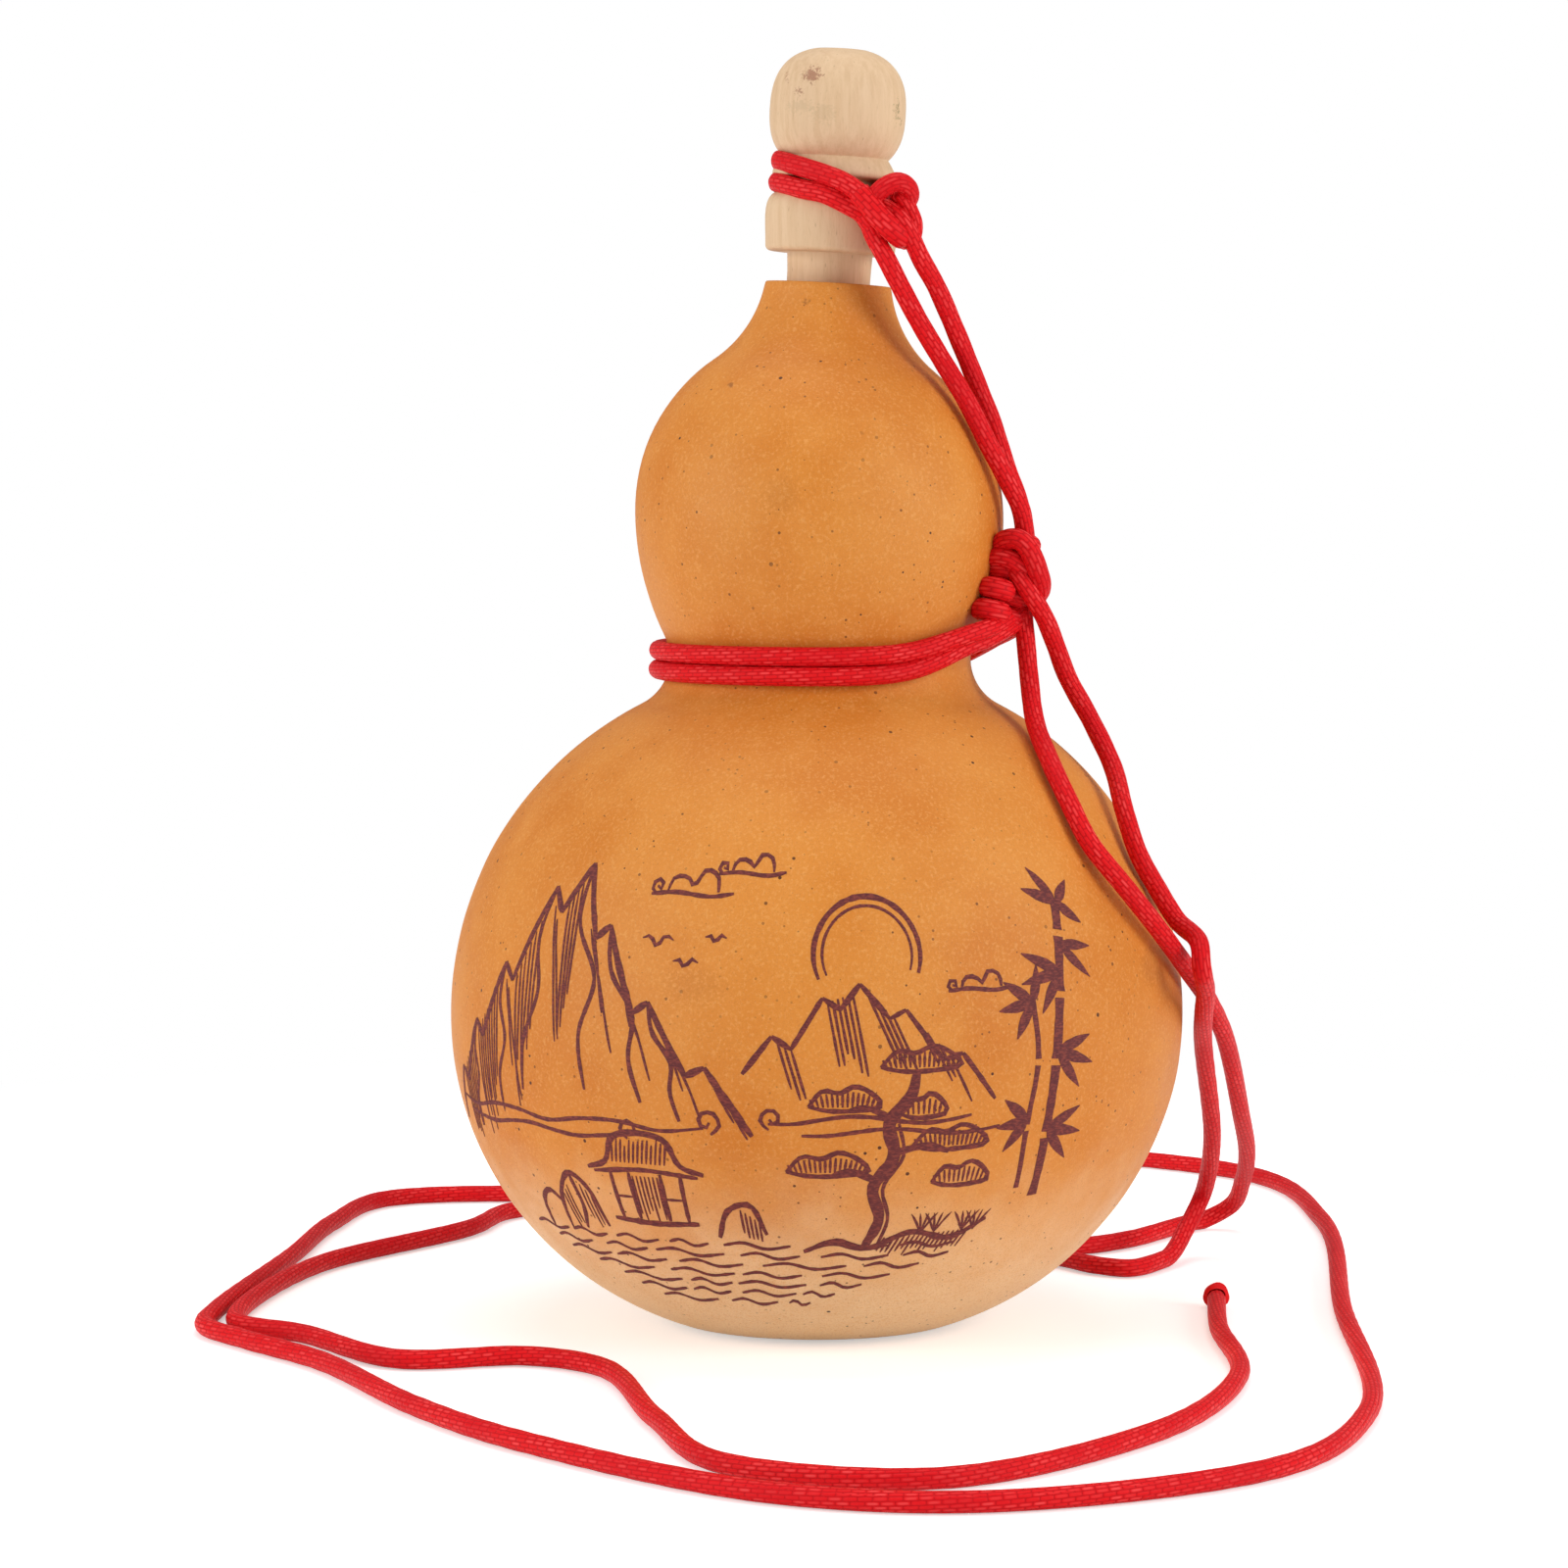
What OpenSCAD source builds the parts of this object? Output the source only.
// Gourd water bottle: a dried double gourd with a turned wooden stopper and a knotted satin carrying cord.
// Millimetres, +Z up. The origin is on the floor under the middle of the belly, and the front faces -Y.

/* [Belly] */
// Widest radius of the belly
belly_r = 46.1; // [40:0.1:52]
// Height of the widest part of the belly above the floor
belly_z = 39.2; // [38:0.1:40]
// Radius of the curve above the widest part
belly_top_arc = 43.6; // [42:0.1:45]
// Radius of the curve below the widest part
belly_low_arc = 41; // [40.5:0.1:43]
// Radius of the shallow dimple under the base
dimple_r = 6; // [3:0.5:10]
// Depth of the dimple
dimple_depth = 0.8; // [0.3:0.1:1.5]

/* [Upper bulb and neck] */
// Radius of the upper bulb
bulb_r = 23.1; // [21:0.1:25]
// Height of the middle of the upper bulb
bulb_z = 102; // [98:0.5:106]
// Radius of the long curve from the bulb down to the waist
bulb_low_arc = 35; // [30:0.5:40]
// Radius of the hollow curve at the waist
waist_fillet = 6.5; // [5:0.5:9]
// Radius of the hollow curve from the bulb up to the mouth
neck_fillet = 15; // [12:0.5:20]
// Outer radius of the cut mouth
mouth_r = 7.9; // [7:0.1:9]
// Height of the mouth above the middle of the bulb
mouth_h = 28.6; // [26:0.2:30]
// Lean of the neck and stopper towards the right, in degrees
lean = 3.1; // [0:0.1:3.1]
// Thickness of the dried wall
wall = 3.2; // [2.4:0.1:4]
// Thickness of the base at its middle
base_wall = 4; // [3:0.5:6]

/* [Stopper] */
// Radius of the shank where it enters the mouth
shank_r = 5.2; // [4.5:0.1:5.6]
// Narrowing of the shank per millimetre of length
shank_taper = 0.04; // [0.02:0.01:0.06]
// Length of the shank below the mouth
shank_depth = 14; // [12:0.5:17]
// Radial clearance between the shank and the mouth
shank_clear = 0.05; // [0.02:0.01:0.1]
// Height of the flange's underside above the mouth
flange_lift = 3.8; // [2:0.2:6]
// Radius of the flange
flange_r = 8.3; // [7.8:0.1:9]
// Height of the flange
flange_h = 5.8; // [4:0.2:7]
// Radius of the wood at the bottom of the cord groove
groove_r = 5.7; // [5.2:0.1:6]
// Radius of the collar above the cord groove
collar_r = 7.6; // [7:0.1:8]
// Height of the collar
collar_h = 1.25; // [1.1:0.05:2.5]
// Radius of the knob
knob_r = 8.5; // [7.5:0.1:10]
// Height of the knob
knob_h = 13.4; // [11:0.2:16]
// Height of the knob's widest part above its foot
knob_wide_h = 5.7; // [4.5:0.1:7]
// Depth of the sharp groove between the collar and the knob
notch_depth = 0.9; // [0.4:0.1:1]

/* [Cord] */
// Thickness of the satin cord
cord_d = 2.4; // [2:0.1:2.6]
// Thickness of the cord where it is pulled tight round the stopper
tight_d = 1.9; // [1.6:0.1:2.2]
// Free space between neighbouring turns of cord
turn_gap = 0.45; // [0.42:0.01:0.6]
// Free space between the cord and what it goes round
cord_clear = 0.3; // [0.25:0.05:0.5]
// Height of the upper turn round the waist
waist_turn_z = 85; // [84:0.2:86]
// Radius of the melted bead on each end of the cord
bead_r = 1.5; // [1.3:0.1:1.8]

/* [Hidden] */

skin_colour = [0.80, 0.52, 0.22];
wood_colour = [0.87, 0.76, 0.60];
cord_colour = [0.80, 0.04, 0.07];
arc_fn = 144;
cord_sides = 8;
turn_rings = 24;
far = 200;
// Angles over which a cord steps down to its next turn, is drawn out to its knot, and rises to it
step_a = 40;
pull_a = 40;
rise_a = 18;
// How far a hollow arc laps over the bulging arc that it is tangent to
arc_lap = 0.003;
// How far a shape runs on past the face that it opens or is cut off at, however the lean tilts it
run_on = bulb_r / 4;

// Middle of the upper bulb, which the neck leans about
bulb_c = [0, bulb_z];
// Centres of the arcs of the outline, as [radius, height]
belly_top_c = [belly_r - belly_top_arc, belly_z];
belly_low_c = [belly_r - belly_low_arc, belly_z];
bulb_low_c = [bulb_r - bulb_low_arc, bulb_z];

// The right-hand meeting point of two circles
function meet(c1, r1, c2, r2) =
    let(d = norm(c2 - c1), u = (c2 - c1) / d,
        a = (r1 * r1 - r2 * r2 + d * d) / (2 * d),
        h = sqrt(r1 * r1 - a * a))
    c1 + a * u + h * [u.y, -u.x];

// Centre of the hollow curve at the waist, tangent to the belly and to the bulb
waist_c = meet(belly_top_c, belly_top_arc + waist_fillet, bulb_low_c, bulb_low_arc + waist_fillet);
// The neck is drawn about its own axis, with its heights counted from the middle of the bulb
neck_c = meet([0, 0], bulb_r + neck_fillet, [mouth_r, mouth_h], neck_fillet);

// Where the straight line from c to c2 leaves an arc of radius r about c
function touch(c, r, c2) = c + (c2 - c) * r / norm(c2 - c);

// Region between the axis and a bulging arc, from z0 to z1
module bulge(c, r, z0, z1) {
    intersection() {
        union() {
            translate(c)
                circle(r, $fn = arc_fn);
            if (c.x > 0)
                translate([0, c.y - r])
                    square([c.x, 2 * r]);
        }
        translate([0, z0])
            square([far, z1 - z0]);
    }
}

// Region between the axis and a hollow arc about c, from the point low up to the point high
module hollow(c, r, low, high) {
    difference() {
        polygon([[0, low.y], low, c, high, [0, high.y]]);
        translate(c)
            circle(r + arc_lap, $fn = arc_fn);
    }
}

// Outline of belly, waist and half the bulb, pulled in by t from the outer skin and cut off at z0
module low_outline(t, z0) {
    bulge(belly_low_c, belly_low_arc - t, z0, belly_z);
    bulge(belly_top_c, belly_top_arc - t, belly_z, belly_z + belly_top_arc);
    hollow(waist_c, waist_fillet + t, touch(belly_top_c, belly_top_arc - t, waist_c),
           touch(bulb_low_c, bulb_low_arc - t, waist_c));
    bulge(bulb_low_c, bulb_low_arc - t, belly_z + belly_top_arc / 2, bulb_z);
}

// Outline of the bulb's top and the neck, about the leaning axis
module neck_outline(z0) {
    bulge([0, 0], bulb_r, z0, bulb_r);
    hollow(neck_c, neck_fillet, touch([0, 0], bulb_r, neck_c), [mouth_r, mouth_h]);
}

// Puts what is drawn about the bulb's middle on the leaning axis
module leaning() {
    translate([0, 0, bulb_z])
        rotate([0, lean, 0])
            children();
}

// Keeps what lies above the middle of the bulb
module above_bulb() {
    difference() {
        children();
        translate([-far / 2, -far / 2, bulb_z - far])
            cube([far, far, far]);
    }
}

// The left strand of the strap: down over the belly, behind the gourd, round the left and along the front
strap_left_route = [
    [26.5, -4.5, 93], [27, -5.5, 87], [26.5, -7.5, 81.5], [27, -11.5, 76.5], [28.5, -18.5, 72],
    [30.5, -22.5, 67.5], [33, -25, 62.5], [37, -25, 57.5], [41, -22, 52.5], [44, -17.5, 48.5],
    [46.5, -11, 45], [49, -3.5, 41.5], [52.5, 8.5, 35], [57, 32, 21.5], [59.5, 49, 13.5],
    [60, 60, 8], [59, 66.5, 3.5], [55, 67, 1.2], [43.5, 51.5, 1.2], [36, 46, 1.2],
    [27, 48, 1.2], [6, 65, 1.2], [-20, 85, 1.2], [-45, 91.5, 1.2], [-61.5, 87, 1.2],
    [-67.5, 66, 1.2], [-70.5, 38, 1.2], [-76, -3, 1.2], [-76, -13, 1.2], [-70, -22, 1.2],
    [-59.5, -35.5, 1.2], [-46, -62.5, 1.2], [-33, -81.5, 1.2], [-5, -107.5, 1.2], [17, -111.5, 1.2],
    [48.5, -95.5, 1.2], [62, -66.5, 1.2], [67, 0, 1.2], [72, 69, 1.2], [66, 110, 1.2],
    [36, 136, 1.2]
];
// The right strand: over the left one at the side of the belly, inside it on the floor, to the bead in front
strap_right_route = [
    [28, -2.5, 92.5], [29.5, -3.5, 87], [31.5, -3.5, 81.5], [34.5, -3.5, 76], [37, -6.5, 70.5],
    [38, -13, 65.5], [39.5, -16, 60.5], [42, -14.5, 56], [44.5, -14, 52], [46.8, -18.5, 49.8],
    [47, -20.5, 47], [48, -15, 43.5], [48.5, -7, 39.5], [49.5, 5, 34.5], [53, 30, 19],
    [53.5, 41, 12], [53, 45.5, 8], [51, 43.5, 4.5], [47.5, 36, 1.2], [42, 28.5, 1.2], [37.5, 31, 1.2],
    [33, 37, 1.2], [24, 43.5, 1.2], [-14, 76.5, 1.2], [-32, 83, 1.2], [-43, 76, 1.2],
    [-48, 61, 1.2], [-66, 32, 1.2], [-73, -5, 1.2], [-71.5, -12, 1.2], [-63.5, -18, 1.2],
    [-50, -34.5, 1.2], [-35, -32.5, 1.2], [-26, -39, 1.2], [-18.5, -69, 1.2], [-10, -93.5, 1.2],
    [12, -100.5, 1.2], [37, -77, 1.2], [49.5, -45, 1.2], [50, -14, 1.2], [51.5, 6, 1.2]
];
// The two strands from the hitch down to the upper knot, lying on the side of the bulb
tether_left_route = [
    [7.5, -11.5, 135], [9.5, -10.5, 131.5], [12.5, -9, 126], [15.5, -8.5, 121], [18.5, -9.5, 116],
    [21, -10, 111], [23.5, -9, 106], [25, -7.5, 102.5], [25.5, -6, 99.5]
];
tether_right_route = [
    [12.5, -9.5, 135], [15, -8.5, 130], [17.5, -7, 124], [20, -5.5, 118], [22, -5, 113],
    [24, -4.5, 108], [26, -3.5, 104], [27.5, -2, 101.5], [27.5, -2.5, 99.5]
];
// The bight of the hitch, which stands up beside the knot and comes back down behind it
bight_route = [
    [8, -9.5, 139], [9, -11, 141.5], [10.5, -11.5, 143.5], [12.5, -11, 144.5], [13.5, -9.5, 143.5],
    [13.5, -8.5, 141], [12.5, -8.5, 138.5]
];
// The strand that comes out of the upper knot's top and lies down over its right side
knot_over_route = [
    [24, -5.5, 99.5], [26, -6.5, 99], [28, -6, 97], [29.5, -4.5, 94.5], [29, -2.5, 92]
];
// Middles of the knots, and the direction that each is wound about. The lower one sits on the turns
// round the waist and against the side of the bulb, so it is placed up from the turns and out from the bulb.
waist_knot_a = -20;
waist_knot_out = 3.25;
waist_knot_up = 5.5;
waist_knot_z = waist_turn_z + waist_knot_up;
bulb_side_r = bulb_low_c.x + sqrt(pow(bulb_low_arc, 2) - pow(waist_knot_z - bulb_z, 2));
waist_knot_lower_c = [cos(waist_knot_a), sin(waist_knot_a), 0] * (bulb_side_r + waist_knot_out)
    + [0, 0, waist_knot_z];
waist_knot_lower_dir = [0.4, 0, 0.9];
waist_knot_upper_c = [26, -4.5, 96.5];
waist_knot_upper_dir = [0.2, 0.1, 1];
hitch_knot_c = [10, -10, 139];
hitch_knot_dir = [0.5, 0.1, -0.8];
// Radius of a knot's wraps and their spacing, counted in thicknesses of the cord
small_wrap_r = 0.6;
large_wrap_r = 0.7;
wrap_pitch = 0.92;
// How far each end of the turns is drawn out to the knot, and how far it rises to it
waist_pull = [1.6, 4.4];
waist_rise = [3.2, 5.4];
hitch_knot_a = -45;
hitch_pull = [5, 6.5];
hitch_rise = [-1, -1];

function shank_at(h) = shank_r + shank_taper * (h - mouth_h);

// Heights on the stopper, counted from the middle of the bulb along the leaning axis
shank_low = mouth_h - shank_depth;
flange_z = mouth_h + flange_lift;
flange_top = flange_z + flange_h;
groove_top = flange_top + 2 * tight_d + turn_gap + 2 * cord_clear;
collar_top = groove_top + collar_h;
knob_top = collar_top + knob_h;
notch_r = collar_r - notch_depth;
// How square the knob's round side is, 2 being a plain ellipse
knob_power = 2.6;
// How much of the knob's crown is turned flat
knob_flat = 0.3;
edge_r = 0.7;
shoulder_r = 1.6;
tip_bevel = 0.5;

// Points of a quarter round of radius r about [x, z], from angle a0 to a1
function corner(x, z, r, a0, a1) = [for (i = [0:4]) [x, z] + r * [cos(a0 + i * (a1 - a0) / 4), sin(a0 + i * (a1 - a0) / 4)]];

// Side of the knob: its lower half up to the widest part, then the crown up to the flat
function knob_low_h() = knob_wide_h / pow(1 - pow(notch_r / knob_r, knob_power), 1 / knob_power);
function knob_side(u, half) = knob_r * pow(1 - pow(abs(u) / half, knob_power), 1 / knob_power);
knob_points = let(rise = knob_h - knob_wide_h, half = rise + knob_flat, wide_z = collar_top + knob_wide_h)
    concat([for (i = [1:6]) let(u = knob_wide_h * (i / 6 - 1)) [knob_side(u, knob_low_h()), wide_z + u]],
           [for (i = [1:12]) let(u = rise * sin(90 * i / 12)) [knob_side(u, half), wide_z + u]]);

module gourd_shell() {
    dimple_arc = (dimple_r * dimple_r + dimple_depth * dimple_depth) / (2 * dimple_depth);
    color(skin_colour)
    difference() {
        union() {
            rotate_extrude($fn = arc_fn)
                difference() {
                    low_outline(0, 0);
                    translate([0, dimple_depth - dimple_arc])
                        circle(dimple_arc, $fn = arc_fn);
                }
            above_bulb()
                leaning()
                    rotate_extrude($fn = arc_fn)
                        neck_outline(-run_on);
        }
        rotate_extrude($fn = arc_fn)
            low_outline(wall, base_wall);
        above_bulb()
            leaning()
                sphere(bulb_r - wall, $fn = arc_fn);
        leaning()
            translate([0, 0, shank_low])
                cylinder(h = shank_depth + run_on, r1 = shank_at(shank_low) + shank_clear,
                         r2 = shank_at(mouth_h + run_on) + shank_clear, $fn = arc_fn);
    }
}

module stopper() {
    color(wood_colour)
    leaning()
        rotate_extrude($fn = arc_fn)
            polygon(concat(
                [[0, shank_low], [shank_at(shank_low) - tip_bevel, shank_low],
                 [shank_at(shank_low + tip_bevel), shank_low + tip_bevel], [shank_at(flange_z), flange_z]],
                corner(flange_r - edge_r, flange_z + edge_r, edge_r, -90, 0),
                corner(flange_r - shoulder_r, flange_top - shoulder_r, shoulder_r, 0, 90),
                [[groove_r, flange_top], [groove_r, groove_top]],
                corner(collar_r - edge_r / 2, groove_top + edge_r / 2, edge_r / 2, -90, 0),
                [[collar_r, groove_top + collar_h / 3], [notch_r, collar_top]],
                knob_points,
                [[0, knob_top]]));
}

// Directions along a route, each the mean of its two neighbouring runs
function headings(p) = [for (i = [0:len(p) - 1])
    let(v = p[min(i + 1, len(p) - 1)] - p[max(i - 1, 0)]) v / norm(v)];

// Sideways directions carried along the route without twisting
function square_to(v, t) = let(w = v - (v * t) * t) w / norm(w);
function sideways(t, i = 0, last = [0.3, 0.5, 0.8], done = []) =
    i == len(t) ? done
    : let(u = square_to(last, t[i])) sideways(t, i + 1, u, concat(done, [u]));

// A cord of diameter d with its middle along the points p
module cord(p, d, sides = cord_sides) {
    t = headings(p);
    u = sideways(t);
    n = len(p);
    rings = [for (i = [0:n - 1], k = [0:sides - 1])
        let(w = cross(t[i], u[i])) p[i] + d / 2 * (u[i] * cos(360 * k / sides) + w * sin(360 * k / sides))];
    walls = [for (i = [0:n - 2], k = [0:sides - 1])
        let(a = i * sides + k, b = i * sides + (k + 1) % sides)
        each [[a, a + sides, b], [b, a + sides, b + sides]]];
    caps = [for (k = [1:sides - 2]) each [[0, k, k + 1], [(n - 1) * sides, (n - 1) * sides + k + 1, (n - 1) * sides + k]]];
    polyhedron(rings, concat(walls, caps));
}

// A knot's wraps side by side round its middle, each wrap a bulge of the cord
module wraps(middle, dir, count, wrap_r, d) {
    pitch = d * wrap_pitch;
    translate(middle)
        rotate([0, acos(dir.z / norm(dir)), atan2(dir.y, dir.x)])
            rotate_extrude($fn = arc_fn)
                union() {
                    for (i = [0:count - 1])
                        translate([wrap_r, (i - (count - 1) / 2) * pitch])
                            circle(d / 2, $fn = arc_fn / 2);
                    translate([0, -(count - 0.5) / 2 * pitch])
                        square([wrap_r, (count - 0.5) * pitch]);
                }
}

// Turns of cord as one unbroken tube that goes round clockwise from above, starting at the angle knot_a.
// Each turn lies level, and the step down to the next is made where the cord passes under the knot.
// pull and rise give how far the first and the last end are drawn outwards and upwards to the knot.
function ease(x) = let(s = min(max(x, 0), 1)) s * s * (3 - 2 * s);
function turn_points(top_z, pitch, turns, knot_a, pull, rise, radius_at) =
    [for (i = [0:turns * turn_rings])
        let(a = 360 * i / turn_rings, last = a > 180 * turns ? 1 : 0,
            off = last == 1 ? 360 * turns - a : a,
            level = ([for (k = [1:turns - 1]) 1] * [for (k = [1:turns - 1]) ease((a - 360 * k + step_a) / (2 * step_a))]),
            z = top_z - pitch * level,
            r = radius_at(z) + pull[last] * exp(-pow(off / pull_a, 2)))
        [r * cos(knot_a - a), r * sin(knot_a - a), z + rise[last] * exp(-pow(off / rise_a, 2))]];

// Least gap between one turn and the next, measured on points of their middles
function least_gap(p, d) = min([for (i = [0:len(p) - 1], j = [0:len(p) - 1])
    if (abs(i - j) > turn_rings / 2) norm(p[i] - p[j])]) - d;

// Middle of a cord that lies in the hollow of the waist with its clearance
function waist_turn_r(z) = waist_c.x
    - sqrt(pow(waist_fillet - cord_d / 2 - cord_clear, 2) - pow(z - waist_c.y, 2));
waist_turn_points = turn_points(waist_turn_z, cord_d + turn_gap, 2, waist_knot_a, waist_pull, waist_rise,
                                function(z) waist_turn_r(z) / cos(180 / turn_rings));
echo(waist_turns_least_gap = least_gap(waist_turn_points, cord_d));

// The hitch is drawn about the stopper's own axis
hitch_top = groove_top - cord_clear - tight_d / 2;
hitch_points = turn_points(hitch_top, tight_d + turn_gap, 2, hitch_knot_a, hitch_pull, hitch_rise,
                           function(z) (groove_r + cord_clear + tight_d / 2) / cos(180 / turn_rings));
echo(hitch_turns_least_gap = least_gap(hitch_points, tight_d));

module stopper_hitch() {
    color(cord_colour) {
        leaning()
            cord(hitch_points, tight_d);
        wraps(hitch_knot_c, hitch_knot_dir, 2, tight_d * small_wrap_r, tight_d);
        cord(bight_route, tight_d);
    }
}

module tether_left() {
    color(cord_colour)
        cord(tether_left_route, cord_d);
}

module tether_right() {
    color(cord_colour)
        cord(tether_right_route, cord_d);
}

module waist_turns() {
    color(cord_colour)
        cord(waist_turn_points, cord_d);
}

module waist_knot_lower() {
    color(cord_colour)
        wraps(waist_knot_lower_c, waist_knot_lower_dir, 2, cord_d * small_wrap_r, cord_d);
}

module waist_knot_upper() {
    color(cord_colour) {
        wraps(waist_knot_upper_c, waist_knot_upper_dir, 3, cord_d * large_wrap_r, cord_d);
        cord(knot_over_route, cord_d);
    }
}

module strap_strand_left() {
    color(cord_colour)
        cord(strap_left_route, cord_d);
}

module strap_strand_right() {
    color(cord_colour)
        cord(strap_right_route, cord_d);
}

// A melted end: a drop that is a little thicker than the cord, face to face with the cord's end
module bead(route) {
    tip = route[len(route) - 1];
    heading = tip - route[len(route) - 2];
    color(cord_colour)
    translate([tip.x, tip.y, bead_r])
        rotate([0, 90, atan2(heading.y, heading.x)])
            intersection() {
                translate([0, 0, bead_r * 0.8])
                    sphere(bead_r, $fn = arc_fn / 2);
                cylinder(h = bead_r * 3, r = bead_r * 2, $fn = arc_fn / 2);
            }
}

module strap_bead_left() {
    bead(strap_left_route);
}

module strap_bead_right() {
    bead(strap_right_route);
}

gourd_shell();
stopper();
stopper_hitch();
tether_left();
tether_right();
waist_turns();
waist_knot_lower();
waist_knot_upper();
strap_strand_left();
strap_strand_right();
strap_bead_left();
strap_bead_right();
